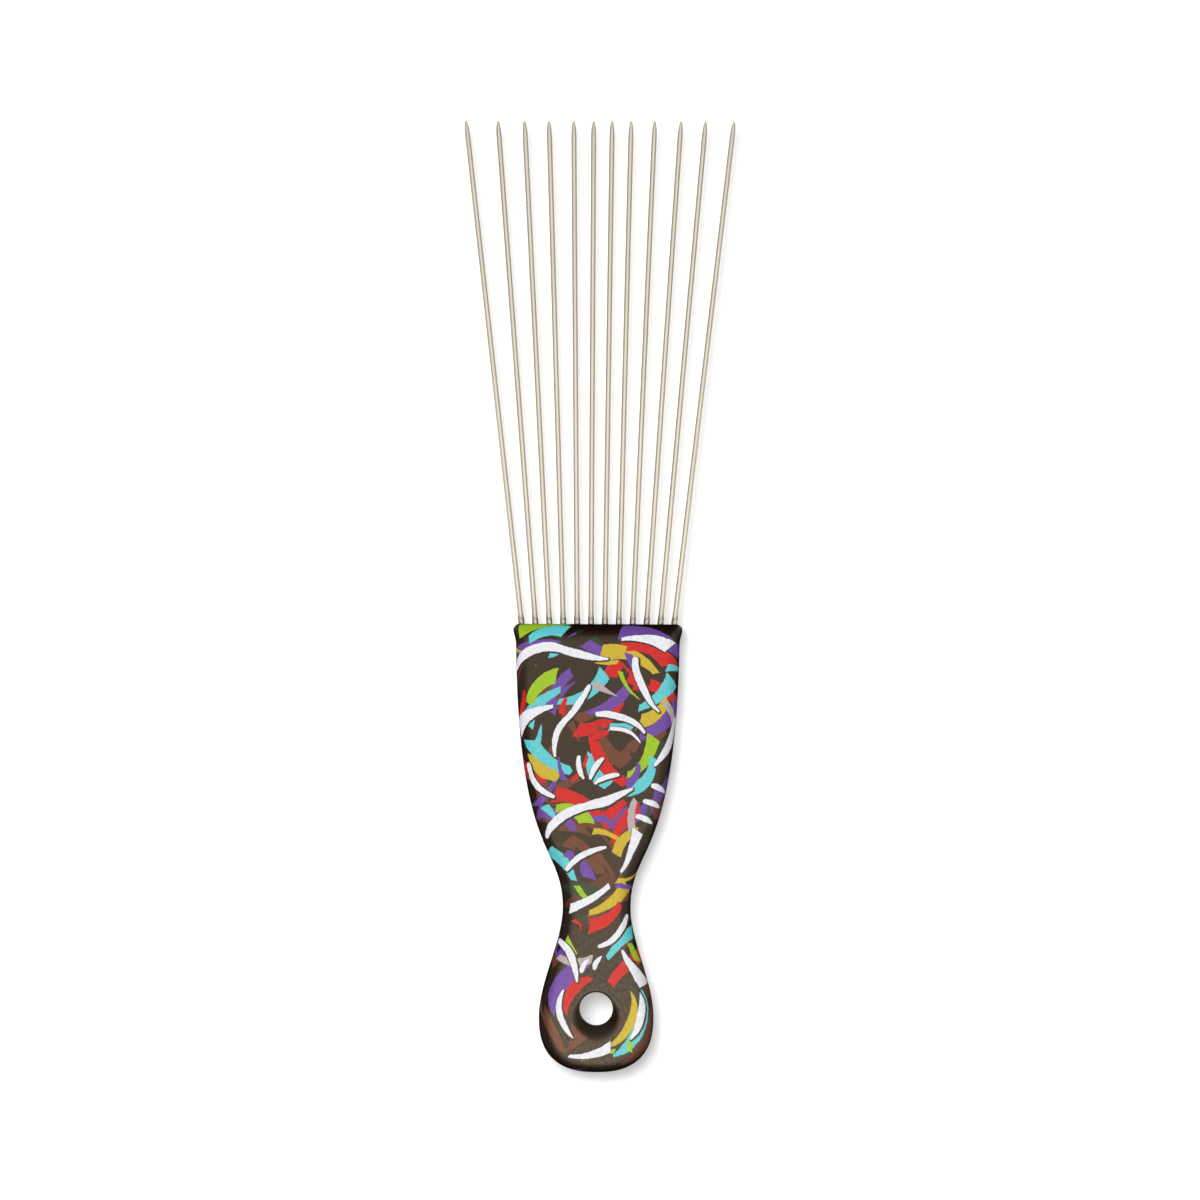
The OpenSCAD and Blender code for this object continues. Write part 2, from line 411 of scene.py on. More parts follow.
def bundle(start: Pair, end: Pair, bow: float, inks: Sequence[Ink], width: float) -> list[Stroke]:
    """Bands of the chisel tip that lie side by side and overlap by a tenth of their width.

    Band i begins at 0, 0.28 or 0.14 of the way and stops at 0.74, 0.87 or 1 of it, in turn. It goes from 1.15
    of the width to 0.45, 0.57 or 0.69 of it, and every second band the other way round.

    Args:
        start: Where the bundle begins.
        end: Where it stops.
        bow: How far its middle stands off the straight line.
        inks: Colour of each band.
        width: Width of a band.

    Returns:
        The strokes.
    """
    along = np.subtract(end, start)
    across = np.array([-along[1], along[0]]) / np.hypot(*along)
    strokes = []
    for i, ink in enumerate(inks):
        begin = np.array(start) + across * width * 0.9 * (i - (len(inks) - 1) / 2)
        first, last = 0.14 * (i * 2 % 3), 1 - 0.13 * ((i + 1) * 2 % 3)
        ends = (tuple((begin + along * share).tolist()) for share in (first, last))
        widths = (width * 1.15, width * (0.45 + 0.12 * (i % 3)))
        strokes.append(slab(ink, *ends, bow, widths[::-1] if i % 2 else widths))
    return strokes


@dataclass(frozen=True)
class Flow:
    """The way that the loose strokes run over the film, like reeds in a stream that turns round the hole."""

    hole: Pair = (0.0, -104.0)  # Its centre
    reach: float = 17.0  # How far from it the strokes still turn round it
    calm: float = 9.5  # How far from it no stroke has its middle
    lean: float = 24.0  # The stream's mean direction, in degrees
    # Each slow wave's height in degrees, and its turn in radians per millimetre of X and of Y
    waves: tuple[tuple[float, float, float], ...] = ((52.0, 0.07, 0.115), (34.0, 0.15, -0.06))
    seed: int = 5
    jitter: float = 0.42  # How far a stroke's middle may lie off its grid's, in steps
    across: Pair = (-22, 22)  # Where the grid begins and ends along X
    along: Pair = (-119, -5)  # Where it does along Y
    # Places along Y and the half width that the strokes cover there
    edge: tuple[Pair, ...] = (
        (-121, 8), (-115, 12.5), (-104, 15), (-90, 12), (-79, 9.5), (-66, 12), (-50, 17), (-30, 21), (-6, 22)
    )

    def heading(self, x: Array, y: Array) -> Array:
        """Direction of the stream at each place.

        It is the mean with a sine wave and a cosine wave, which give way to the circle round the hole as
        exp(-(distance / reach)^4).

        Args:
            x: Places along X.
            y: Places along Y.

        Returns:
            The directions, in degrees.
        """
        (height, by_x, by_y), (height_2, by_x_2, by_y_2) = self.waves
        waves = height * np.sin(by_y * y + by_x * x), height_2 * np.cos(by_x_2 * x + by_y_2 * y)
        stream = np.radians(self.lean + waves[0] + waves[1])
        round_hole = np.arctan2(y - self.hole[1], x - self.hole[0]) + np.pi / 2
        share = np.exp(-((np.hypot(x - self.hole[0], y - self.hole[1]) / self.reach) ** 4))
        across = np.sin(stream) * (1 - share) + np.sin(round_hole) * share
        along = np.cos(stream) * (1 - share) + np.cos(round_hole) * share
        return np.degrees(np.arctan2(across, along))

    def strewn(
        self, step: float, inks: Sequence[Ink], lengths: Pair, widths: Pair, turn: float, tip: Tip
    ) -> list[Stroke]:
        """Strews strokes over the film, one in each cell of a grid, with small differences.

        A chisel's stroke narrows to one end, by a tenth of its width or more, and a round tip's to both. The
        bow is 0.12 of the length at most.

        Args:
            step: Size of a cell.
            inks: The inks, each of which is used as often as it is named.
            lengths: Least and greatest length.
            widths: Least and greatest width.
            turn: How far a stroke may turn off the stream, in degrees.
            tip: Tip of the marker.

        Returns:
            The strokes.
        """
        rng = np.random.default_rng(self.seed + round(step * 100))
        columns = np.arange(self.across[0], self.across[1] + step, step)
        x, y = (c.ravel() for c in np.meshgrid(columns, np.arange(*self.along, step)))
        x, y = (c + rng.uniform(-self.jitter, self.jitter, len(c)) * step for c in (x, y))
        away = np.hypot(x - self.hole[0], y - self.hole[1])
        kept = (np.abs(x) < np.interp(y, *zip(*self.edge))) & (away > self.calm)
        x, y = x[kept], y[kept]
        lean = self.heading(x, y) + rng.uniform(-turn, turn, len(x))
        length, width = rng.uniform(*lengths, len(x)), rng.uniform(*widths, len(x))
        order = rng.permutation(np.arange(len(x)) % len(inks))
        taper, bow = rng.uniform(0.0, 0.9, len(x)), rng.uniform(-0.12, 0.12, len(x)) * length
        rows = np.stack([x, y, length, lean, bow, width, taper], axis=1).tolist()
        strokes = []
        for i in rng.permutation(len(x)):
            *middle, long, way, bend, wide, narrowed = rows[i]
            shape = (wide, wide * (1 + narrowed) / 2, wide * narrowed)
            if tip is Tip.ROUND:
                shape = (wide * 0.15, wide, wide * 0.3 * narrowed)
            strokes.append(Stroke(inks[order[i]], *both_ends(middle, long, way), bend, shape, tip=tip))
        return strokes


def under_painting() -> list[Stroke]:
    """Returns the broad, dim patches that the rest is printed over."""
    umber, moss, violet = Ink.UMBER, Ink.MOSS, Ink.VIOLET
    return [
        slab(umber, (-22, -20), (-2, -31), 1.6, (9, 5)),
        slab(umber, (2, -40), (20, -31), -1.4, (5, 9)),
        slab(moss, (-6, -9), (8, -22), 1.2, (3, 7)),
        slab(umber, (-16, -55), (8, -61), 2.2, (4, 9), 0.9),
        slab(moss, (-18, -43), (-3, -50), -1, (3, 6)),
        slab(umber, (-7, -80), (6, -70), 1, (5, 3), 0.6),
        slab(violet, (3, -57), (15, -50), -0.8, (3, 5.4), 0.9),
        slab(umber, (4, -90), (13, -101), 1.2, (4, 6.5), 0.85),
        slab(umber, (-14, -100), (-5, -113), -1.6, (5, 6.5)),
    ]


def colour_work() -> list[Stroke]:
    """Returns loose dim strokes, then bundles of bright ink with the ground cut back between them, then chips."""
    ground, red, cyan, lime = Ink.GROUND, Ink.RED, Ink.CYAN, Ink.LIME
    mustard, violet, umber, moss, ash = Ink.MUSTARD, Ink.VIOLET, Ink.UMBER, Ink.MOSS, Ink.ASH
    flow = Flow()
    bundles = (
        ((-22, -12), (-6, -8), 1.2, (violet, cyan, lime), 3.2),
        ((2, -11), (21, -18), 2, (mustard, red, violet), 3.8),
        ((-20, -31), (-9, -18), 1.6, (cyan, lime, ground), 3.3),
        ((-8, -30), (8, -20), -2.2, (red, violet, ground, cyan), 3.2),
        ((21, -23), (9, -33), 1.2, (cyan, mustard, violet), 3.4),
        ((-20, -38), (-8, -46), -1.6, (red, mustard, cyan), 3.2),
        ((-3, -35), (6, -48), -1.8, (ground, cyan, red, umber), 3.3),
        ((18, -38), (8, -51), 1.8, (lime, cyan, ground, violet), 3.2),
        ((-14, -52), (-1, -58), 1.6, (violet, lime, red), 3.2),
        ((13, -55), (4, -67), -1.2, (red, mustard, ground), 3),
        ((-11, -62), (-1, -72), 1.2, (cyan, violet, umber), 3.2),
        ((9, -75), (-3, -85), 1, (mustard, red, ground), 3),
        ((-9, -82), (-2, -95), -1.4, (violet, lime, ground), 3.1),
        ((12, -87), (2, -96), -1, (cyan, ground, red), 3),
    )
    chips = (lime, cyan, red, ground, ash, violet, mustard)
    return [
        *flow.strewn(9.6, (umber, violet, moss, ground, red, umber), (9, 16), (2.6, 5), 30, Tip.CHISEL),
        *flow.strewn(11, (ground,), (10, 18), (2.4, 4.6), 34, Tip.ROUND),
        *(band for row in bundles for band in bundle(*row)),
        *bends((0, -104), 96, 96, [(red, 7.6, 3), (violet, 11, 4.4), (ground, 14, 2.4)]),
        *bends((0, -104), -72, 98, [(mustard, 9.6, 2.4), (cyan, 12.4, 3.2), (umber, 15.4, 3)]),
        *flow.strewn(10.4, chips, (3.6, 9), (1.2, 2.6), 40, Tip.CHISEL),
    ]


def white_work() -> list[Stroke]:
    """Returns the white lines over the rest, each with its dark key line, and then small dashes without one."""
    white, fan = Ink.WHITE, (-2.5, -48)
    # Where each line begins and ends, its bow, and its width with its ends' shares of it or its two widths.
    rows = (
        (slash, (-21.5, -18), (-9, -13), 2.6, 2.2, (0.8, 0.8)),
        (slash, (-9, -13), (2.5, -15.5), -0.4, 1.8, (0.95, 0.3)),
        (slab, (6, -11), (18.5, -12.5), 1.2, (0.7, 3.6)),
        (slash, (9.5, -16), (15.5, -29), -1.6, 1.7, (0.9, 0.3)),
        (slab, (-21, -34), (-11.5, -27.5), 0.9, (4.4, 0.8)),
        (slash, (-11, -40), (-8, -30.5), 1.1, 1.5, (0.4, 0.9)),
        (slash, (-8, -30.5), (-2.5, -22.5), -0.35, 1.6, (0.85, 0.7)),
        (slash, (0, -29.5), (12, -34.5), 1.7, 1.6, (0.8, 0.4)),
        (slash, (3.5, -33), (11, -37), 1, 1, (0.9, 0.4)),
        (slash, (20.5, -31), (14.5, -43), 1.2, 2, (0.9, 0.3)),
        (slash, (-17.5, -43), (-11, -50.5), -1.1, 1.5, (0.9, 0.6)),
        (slash, (-13, -60.5), (-3, -53), 1.4, 2.2, (0.5, 0.8)),
        (slash, (-3, -53), (8.5, -48.5), -0.55, 2.1, (0.85, 0.3)),
        *((slash, polar(fan, 2.6, lean), polar(fan, 8, lean), 0.5, 1.4, (0.5, 0.7)) for lean in (22, 64, 106)),
        (slab, (10.5, -58.5), (5.5, -69.5), 0.9, (3, 0.6)),
        (slash, (-7.5, -68.5), (2, -63), 1, 1.4, (0.8, 0.5)),
        (slab, (-6.5, -79), (3, -73), -0.7, (2.6, 1.2)),
        (slash, (8, -81), (0.5, -88.5), 1.2, 1.6, (0.8, 0.5)),
        (slash, (-9.5, -87), (-4.5, -97), 1.4, 1.7, (0.8, 0.3)),
        (slab, (12.5, -98), (6.5, -89.5), 0.8, (3.4, 0.6)),
    )
    lines = [
        *(draw(white, *row) for draw, *row in rows),
        *bends((0, -104), 150, 80, [(white, 9.4, 1.7)]),
        *bends((0, -104), -40, 60, [(white, 11.8, 2.2)]),
        slab(white, (-6.5, -115.4), (3.5, -113.4), -0.8, (0.8, 2.6)),
    ]
    return [
        *keyed(lines),
        *dashes(white, [(15.6, -48.5), (13.9, -52.1), (12.2, -55.7)], 4, 1.3, -28),
        *dashes(white, [(-2.5, -93), (0.5, -92.4)], 3, 1.2, 64),
    ]


# Finishes


@dataclass(frozen=True)
class Grain:
    """Fine lines of a finish, with the gloss and the relief that follow them."""

    fineness: float  # Scale of the noise across the lines
    length_share: float  # Its scale along the lines, as a share of that across them
    gloss_by: str  # Output of the drawn lines group that the roughness follows
    roughness: Pair  # Roughness where that output is low, and where it is high
    relief: float  # Strength of the bump
    relief_h: float  # Its height, in metres

    def lay(self, graph: Graph, shader: Node, drawn: NodeTree, place: Socket) -> Outputs:
        """Gives a shader its roughness and its relief.

        Args:
            graph: The material's graph.
            shader: Its shader.
            drawn: The drawn lines group.
            place: Place on the finish, with the lines along its second axis.

        Returns:
            The group's outputs.
        """
        sizes = {"Fineness": self.fineness, "Length Share": self.length_share}
        grain = graph.group(drawn, {"Place": place} | sizes)
        rough = graph.ranged(grain[self.gloss_by], self.roughness)
        bump = {"Height": grain["Lines"], "Strength": self.relief, "Distance": self.relief_h}
        graph.feed(shader, {"Roughness": rough, "Normal": graph.node("ShaderNodeBump", bump).outputs[0]})
        return grain


@dataclass(frozen=True)
class PrintedFilm:
    """Satin printed film on a moulding. Its design is drawn on the film attribute, which follows the surface."""

    strokes: tuple[Stroke, ...]  # The design, in the order in which it is printed
    crispness: float = 9.0  # Steepness of a stroke's edge, per millimetre
    drift: Pair = (1.3, 0.07)  # How far the hand wanders along a stroke, and the scale of that noise
    tremble: Pair = (0.16, 0.9)  # How rough a stroke's edge is, in the same form
    grain: Grain = Grain(
        fineness=2.9, length_share=0.28, gloss_by="Lines", roughness=(0.68, 0.2), relief=0.35, relief_h=0.0001
    )
    line_tones: Pair = (0.78, 1.12)  # Light of the colours where the lines are low, and where they are high
    mottle_tones: Pair = (0.95, 1.03)  # The same for the mottle
    specular: float = 0.585
    specular_tint: Colour = (1.0, 0.83, 0.61, 1.0)

    def wandered(self, graph: Graph, raw: Socket) -> Socket:
        """Shifts the film's places a little, so that no stroke is as true as a drawing instrument's.

        Args:
            graph: The material's graph.
            raw: Place on the film.

        Returns:
            The place with noise of two scales added, each centred on 0.
        """
        place = raw
        for reach, scale in (self.drift, self.tremble):
            centred = graph.vector("SUBTRACT", graph.noise(raw, scale, 1.0)["Color"], (0.5, 0.5, 0.5))[0]
            shift = graph.vector("MULTIPLY", centred, (reach * 2, reach * 2, 0.0))[0]
            place = graph.vector("ADD", place, shift)[0]
        return place

    def material(self, markers: dict[Tip, NodeTree], drawn: NodeTree) -> Material:
        """Builds the film's material.

        Args:
            markers: The stroke group of each tip.
            drawn: The drawn lines group.

        Returns:
            The material.
        """
        material, graph, shader = new_material("printed_film")
        raw = graph.node("ShaderNodeAttribute", attribute_name="film").outputs["Vector"]
        film = self.wandered(graph, raw)
        colour: Socket = Ink.GROUND.value
        for stroke in self.strokes:
            mark = graph.group(markers[stroke.tip], {"Film": film, "Crispness": self.crispness} | stroke.values())
            colour = graph.tint(mark["Mask"], colour, stroke.ink.value)
        grain = self.grain.lay(graph, shader, drawn, raw)
        tones = graph.ranged(grain["Lines"], self.line_tones), graph.ranged(grain["Mottle"], self.mottle_tones)
        shade = graph.node("ShaderNodeCombineColor", dict.fromkeys(range(3), graph.math("MULTIPLY", *tones)))
        shaded = graph.tint(1.0, colour, shade.outputs[0], "MULTIPLY")
        gloss = {"Specular IOR Level": self.specular, "Specular Tint": self.specular_tint}
        graph.feed(shader, {"Base Color": shaded} | gloss)
        return material


@dataclass(frozen=True)
class DrawnSteel:
    """Satin drawn wire with a warm nickel tint, streaked along its length."""

    colour: Colour = srgb(226, 216, 198)
    dull: Colour = srgb(209, 198, 179)
    streaks: Pair = (0.35, 0.75)  # Where the lines begin to be dull, and where they are wholly dull
    grain: Grain = Grain(
        fineness=3.0, length_share=0.012, gloss_by="Mottle", roughness=(0.27, 0.35), relief=0.02, relief_h=0.00003
    )
    edge_tint: Colour = (0.42, 0.4, 0.37, 1.0)

    def material(self, drawn: NodeTree) -> Material:
        """Builds the wire's material on the wire attribute, which runs along the wire on its second axis.

        Args:
            drawn: The drawn lines group.

        Returns:
            The material.
        """
        material, graph, shader = new_material("drawn_steel")
        wire = graph.node("ShaderNodeAttribute", attribute_name="wire").outputs["Vector"]
        streak = graph.ranged(self.grain.lay(graph, shader, drawn, wire)["Lines"], (0.0, 1.0), self.streaks)
        steel = {"Metallic": 1.0, "Specular Tint": self.edge_tint}
        graph.feed(shader, {"Base Color": graph.tint(streak, self.colour, self.dull)} | steel)
        return material


# Surfaces


def grid_faces(rows: int, columns: int, wrap: bool, offset: int = 0) -> Array:
    """Quads of a grid whose points are numbered row by row.

    Args:
        rows: Rows of points.
        columns: Points in a row.
        wrap: Whether the last column joins the first.
        offset: Number of the grid's first point.

    Returns:
        An array of quads, each four point numbers.
    """
    across = np.arange(columns if wrap else columns - 1)
    start = offset + np.arange(rows - 1)[:, None] * columns
    first, second = (start + across).ravel(), (start + (across + 1) % columns).ravel()
    return np.stack([first, second, second + columns, first + columns], axis=1)


class Shell:
    """Collects grids of points into one welded mesh with a vector attribute that follows the surface."""

    def __init__(self, attribute: str) -> None:
        """Starts an empty shell whose attribute has this name."""
        self.attribute = attribute
        self.points: list[Array] = []
        self.marks: list[Array] = []
        self.faces: list[Array] = []
        self.total = 0

    def add(self, points: Array, marks: Array, wrap: bool, flip: bool = False) -> None:
        """Adds a grid.

        Args:
            points: Places, rows by columns by three.
            marks: The attribute's value at each, in the same layout.
            wrap: Whether the last column joins the first.
            flip: Whether the faces turn the other way.
        """
        rows, columns = points.shape[:2]
        faces = grid_faces(rows, columns, wrap, self.total)
        self.faces.append(faces[:, ::-1] if flip else faces)
        self.points.append(points.reshape(-1, 3))
        self.marks.append(marks.reshape(-1, 3))
        self.total += rows * columns

    def build(self, name: str) -> Object:
        """Welds the grids where they share places, and makes the object.

        Points that share a place become one. A quad that this folds on to a pole becomes a triangle, and one
        with no area is left out.

        Args:
            name: Name of the object.

        Returns:
            The object, at the origin, with its mesh in metres.
        """
        points, marks = np.concatenate(self.points), np.concatenate(self.marks)
        keys = np.round(points * WELD_STEPS).astype(np.int64)
        _, first, place = np.unique(keys, axis=0, return_index=True, return_inverse=True)
        quads = place.ravel()[np.concatenate(self.faces)]
        same = quads == np.roll(quads, -1, axis=1)
        full, once = ~same.any(axis=1), same.sum(axis=1) == 1
        corners = np.concatenate([quads[full].ravel(), quads[once][~same[once]]])
        sizes = np.repeat([4, 3], [full.sum(), once.sum()])
        mesh = bpy.data.meshes.new(name)
        mesh.vertices.add(len(first))
        mesh.vertices.foreach_set("co", (points[first] * MM).astype(np.float32).ravel())
        mesh.loops.add(len(corners))
        mesh.loops.foreach_set("vertex_index", corners.astype(np.int32))
        mesh.polygons.add(len(sizes))
        mesh.polygons.foreach_set("loop_start", (np.cumsum(sizes) - sizes).astype(np.int32))
        mesh.update(calc_edges=True)
        mesh.validate()
        values = mesh.attributes.new(self.attribute, "FLOAT_VECTOR", "POINT")
        values.data.foreach_set("vector", marks[first].astype(np.float32).ravel())
        mesh.shade_smooth()
        made = bpy.data.objects.new(name, mesh)
        bpy.context.scene.collection.objects.link(made)
        return made


def cubic(knots: Sequence[Pair], steps: int) -> tuple[Array, Array]:
    """Points and directions of a cubic curve.

    The curve is the sum of its four knots, weighted by (1-t)^3, 3(1-t)^2 t, 3(1-t) t^2 and t^3.

    Args:
        knots: The start, its handle, the end's handle and the end.
        steps: Number of points. The end itself is left to the next stretch.

    Returns:
        The points and the directions, each steps by two.
    """
    p, q, r, s = (np.array(k, float) for k in knots)
    t = (np.arange(steps) / steps)[:, None]
    places = (1 - t) ** 3 * p + 3 * (1 - t) ** 2 * t * q + 3 * (1 - t) * t**2 * r + t**3 * s
    ways = (1 - t) ** 2 * (q - p) + 2 * (1 - t) * t * (r - q) + t**2 * (s - r)
    return places, ways


def ease(share: Array) -> Array:
    """Smooth step from 0 to 1."""
    return share * share * (3 - 2 * share)


def unit(ways: Array) -> Array:
    """Directions with a length of 1."""
    return ways / np.linalg.norm(ways, axis=-1, keepdims=True)


def raised(places: Array, heights: Array | float = 0.0) -> Array:
    """Gives each of an array of places on a plane its height."""
    levels = np.broadcast_to(np.asarray(heights, float)[..., None], (*places.shape[:-1], 1))
    return np.concatenate([places, levels], axis=-1)


def run_inwards(points: Array) -> Array:
    """Length along each column of a grid, from the nearer of its first and last rows.

    Args:
        points: Places, rows by columns by three.

    Returns:
        The lengths, rows by columns.
    """
    steps = np.linalg.norm(np.diff(points, axis=0), axis=2)
    run = np.concatenate([np.zeros((1, points.shape[1])), np.cumsum(steps, axis=0)])
    return np.minimum(run, run[-1] - run)


@dataclass
class Handle:
    """The moulded handle: a flat head with a lip, a waist, and a rounded end with a dished hanging hole."""

    foot_y: float
    thickness: float
    head_l: float = 71.6
    neck_l: float = 27.4
    end_l: float = 14.0
    head_w: float = 41.2
    waist_w: float = 17.1
    end_w: float = 28.9
    edge_r: float = 3.6
    brow_l: float = 4.2
    lip_l: float = 7.0
    lip_out: float = 0.7
    corner_r: float = 1.5
    hole_d: float = 8.4
    hole_up: float = 16.0
    rim_r: float = 0.8
    dish_w: float = 4.2
    dish_down: float = 1.8
    dish_r: float = 2.6
    dish_slope: float = 42.0
    end_power: float = 2.5
    wide_above_share: float = 0.32
    waist_below_share: float = 0.3
    waist_above_share: float = 0.25
    head_below_share: float = 0.82
    head_taper_share: float = 0.08
    inner_corner_share: float = 0.25
    edge_steps: int = 14
    mouth_steps: int = 18
    wall_steps: int = 4
    cross_steps: int = 24
    fan_rows: int = 9
    end_steps: int = 60
    neck_steps: int = 42
    head_steps: int = 76
    lip_steps: int = 26
    corner_steps: int = 14

    def __post_init__(self) -> None:
        """Works out the places along it, and the radii of the circles where the hole's rounding and dish begin."""
        self.wide_y = self.foot_y + self.end_l
        self.waist_y = self.wide_y + self.neck_l
        self.top_y = self.waist_y + self.head_l
        self.hole_y = self.foot_y + self.hole_up
        self.mouth_r = self.hole_d / 2 + self.rim_r
        self.bowl_r = self.hole_d / 2 + self.dish_w - self.dish_down

    def half_outline(self, share: float) -> Array:
        """Right half of the outline, drawn in by a share of the rounding, from the foot to the lip's corner.

        The rounded end is a superellipse, |x/a|^n + |y/b|^n = 1, the neck and the head are cubic curves, the
        lip eases out and its corner is an arc. All but the last two are moved in along their normals.

        Args:
            share: 0 for the outline itself and 1 for the border of the flat face.

        Returns:
            The points, each x and y.
        """
        inset = self.edge_r * share
        a = np.radians(90 * np.arange(self.end_steps) / self.end_steps)
        x_share, y_share = np.sin(a) ** (2 / self.end_power), np.cos(a) ** (2 / self.end_power)
        places = [np.stack([self.end_w / 2 * x_share, self.wide_y - self.end_l * y_share], axis=1)]
        slopes = [x_share ** (self.end_power - 1) * 2 / self.end_w, -(y_share ** (self.end_power - 1)) / self.end_l]
        facings = [np.stack(slopes, axis=1)]
        wide, waist = (self.end_w / 2, self.wide_y), (self.waist_w / 2, self.waist_y)
        shoulder = (self.head_w / 2, self.top_y - self.lip_l)
        run, widening = self.head_l - self.lip_l, (self.head_w - self.waist_w) / 2
        above_wide = (wide[0], wide[1] + self.wide_above_share * self.neck_l)
        below_waist = (waist[0], waist[1] - self.waist_below_share * self.neck_l)
        above_waist = (waist[0], waist[1] + self.waist_above_share * run)
        below_lip = (shoulder[0] - self.head_taper_share * widening, shoulder[1] - self.head_below_share * run)
        neck, head = (wide, above_wide, below_waist, waist), (waist, above_waist, below_lip, shoulder)
        for knots, steps in ((neck, self.neck_steps), (head, self.head_steps)):
            points, ways = cubic(knots, steps)
            places.append(points)
            facings.append(np.stack([ways[:, 1], -ways[:, 0]], axis=1))
        place = np.concatenate(places) - unit(np.concatenate(facings)) * inset
        corner = self.corner_r * (1 - (1 - self.inner_corner_share) * share)
        v = np.arange(self.lip_steps) / self.lip_steps
        high_y = self.top_y - self.brow_l * share - corner
        lip_x = self.head_w / 2 + self.lip_out * ease(v * v) - inset
        lip = np.stack([lip_x, shoulder[1] + (high_y - shoulder[1]) * v], axis=1)
        a = np.radians(90 * np.arange(self.corner_steps + 1) / self.corner_steps)
        centre = [self.head_w / 2 + self.lip_out - inset - corner, high_y]
        arc = np.array(centre) + corner * np.stack([np.cos(a), np.sin(a)], axis=1)
        half = np.concatenate([place, lip, arc])
        half[0, 0] = 0.0
        return half

    def ring(self, share: float) -> Array:
        """The whole outline: the right half, the top edge and the left half.

        Args:
            share: Share of the rounding that it is drawn in by.

        Returns:
            The points, each x and y.
        """
        half = self.half_outline(share)
        across = 1 - 2 * np.arange(1, self.cross_steps) / self.cross_steps
        top = np.stack([half[-1, 0] * across, np.full(len(across), half[-1, 1])], axis=1)
        return np.concatenate([half, top, half[:0:-1] * [-1, 1]])

    def levels(self, radius: float, steps: int) -> tuple[Array, Array]:
        """Shares and heights down a rounded side: a quarter circle, a straight wall and a quarter circle.

        Args:
            radius: Radius of the roundings.
            steps: Steps of each rounding.

        Returns:
            The share of the rounding at each level, and its height, from the front face to the back.
        """
        a = np.radians(90 * np.arange(steps + 1) / steps)
        share, drop = 1 - np.sin(a), radius * (1 - np.cos(a))
        wall = np.linspace(self.thickness - radius, radius, self.wall_steps + 1)[1:-1]
        shares = np.concatenate([share, np.zeros(len(wall)), share[::-1]])
        return shares, np.concatenate([self.thickness - drop, wall, drop[::-1]])

    def add_skin(self, shell: Shell) -> None:
        """Adds the rounded side all round the outline.

        The film lies on it by the length along the surface: a point's mark is the flat border's place, moved
        outwards by its run from the nearer flat face. So the print isn't stretched on the sides.

        Args:
            shell: The shell to add it to.
        """
        shares, heights = self.levels(self.edge_r, self.edge_steps)
        rings = np.stack([self.ring(s) for s in shares])
        points = raised(rings, heights[:, None])
        marks = rings[0] + unit(rings[len(shares) // 2] - rings[0]) * run_inwards(points)[..., None]
        shell.add(points, raised(marks), wrap=True, flip=True)

    def mouth_border(self, ray: Array) -> Array:
        """Where each ray from the hole's centre meets the border of the hole's mouth.

        That is on the rounding's circle or the dish's, whichever is further out. From a centre that lies d
        above its own, a ray with the direction (x, y) meets a circle of radius r at -d y + sqrt(r^2 - d^2 x^2).

        Args:
            ray: Directions of the rays.

        Returns:
            The places, from the hole's centre.
        """
        reach = -self.dish_down * ray[:, 1] + np.sqrt(self.bowl_r**2 - (self.dish_down * ray[:, 0]) ** 2)
        return ray * np.maximum(self.mouth_r, reach)[:, None]

    def mouth_depth(self, places: Array) -> Array:
        """Depth of the hole's mouth below the face.

        The rounding rolls down from its own circle as r - sqrt(r^2 - run^2), where run is the way in from that
        circle. The dish does so too, until it has its full slope, and goes on straight. The deeper of the two
        is the mouth.

        Args:
            places: Places, from the hole's centre.

        Returns:
            The depth at each.
        """
        run = self.mouth_r - np.linalg.norm(places, axis=-1)
        depth = self.rim_r - np.sqrt(self.rim_r**2 - np.clip(run, 0.0, self.rim_r) ** 2)
        slope = np.radians(self.dish_slope)
        run = self.bowl_r - np.linalg.norm(places + [0.0, self.dish_down], axis=-1)
        rolled = np.clip(run, 0.0, self.dish_r * np.sin(slope))
        straight = np.maximum(run - rolled, 0.0) * np.tan(slope)
        return np.maximum(depth, self.dish_r - np.sqrt(self.dish_r**2 - rolled**2) + straight)

    def add_hole(self, shell: Shell, ray: Array) -> None:
        """Adds the hole: a mouth on each side, with its rows closer together where it is steeper, and a wall.

        Args:
            shell: The shell to add it to.
            ray: Direction from the hole's centre to each column.
        """
        shares, _ = self.levels(self.rim_r, self.mouth_steps)
        rim = self.mouth_steps + 1
        border, bore = self.mouth_border(ray), ray * self.hole_d / 2
        places = bore + (border - bore) * shares[:, None, None]
        places[0] = places[-1] = border
        depth = self.mouth_depth(places)
        depth[0] = depth[-1] = 0.0
        down = np.linspace(0, 1, self.wall_steps + 1)[1:-1, None]
        front = self.thickness - depth
        wall = front[rim - 1] * (1 - down) + depth[rim - 1] * down
        points = raised(places + [0.0, self.hole_y], np.concatenate([front[:rim], wall, depth[-rim:]]))
        marks = points[0, :, :2] - ray * run_inwards(points)[..., None]
        shell.add(points, raised(marks), wrap=True)

